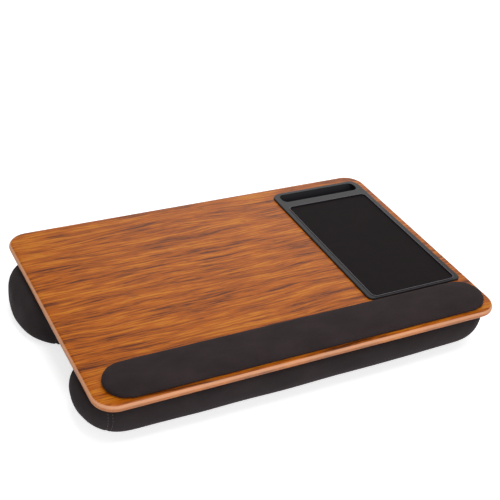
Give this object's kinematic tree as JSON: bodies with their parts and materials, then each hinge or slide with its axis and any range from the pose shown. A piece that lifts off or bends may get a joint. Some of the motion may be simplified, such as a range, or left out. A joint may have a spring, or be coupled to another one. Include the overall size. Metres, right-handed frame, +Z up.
{
  "type": "cushioned lap desk",
  "caption": "Cushioned lap desk: woodgrain board on soft bolsters, with a padded wrist rest and a moulded insert that holds a mouse pad and stands a phone.",
  "frame": {"origin": "centre of the whole part's footprint, on the surface the bolsters stand on", "axes": "+X to the user's right along the length, +Y away from the user, +Z up"},
  "size_m": [0.572, 0.356, 0.08],
  "materials": {
    "fibreboard": "raw sawn",
    "woodgrain_foil": "satin foil",
    "moulded_plastic": "satin moulded",
    "pad_rubber": "matte",
    "pad_cloth": "fine woven",
    "base_plastic": "matte",
    "foam": "open cell foam",
    "suede_cloth": "brushed microfibre",
    "screw_steel": "zinc plated",
    "hardboard": "pressed smooth",
    "bead_fill": "bead-filled inner bag"
  },
  "bodies": {
    "root": {"desk_board": "fibreboard", "woodgrain_laminate": "woodgrain_foil", "insert_tray": "moulded_plastic", "mouse_pad_rubber": "pad_rubber", "mouse_pad_cloth": "pad_cloth", "wrist_rest_base": "base_plastic", "wrist_rest_foam": "foam", "wrist_rest_cover": "suede_cloth", "wrist_rest_screws": "screw_steel", "cushion_backing": "hardboard", "centre_panel": "suede_cloth", "front_bolster_sleeve": "suede_cloth", "front_bolster_end_left": "suede_cloth", "front_bolster_end_right": "suede_cloth", "front_bolster_fill": "bead_fill", "rear_bolster_sleeve": "suede_cloth", "rear_bolster_end_left": "suede_cloth", "rear_bolster_end_right": "suede_cloth", "rear_bolster_fill": "bead_fill"}
  },
  "joints": []
}
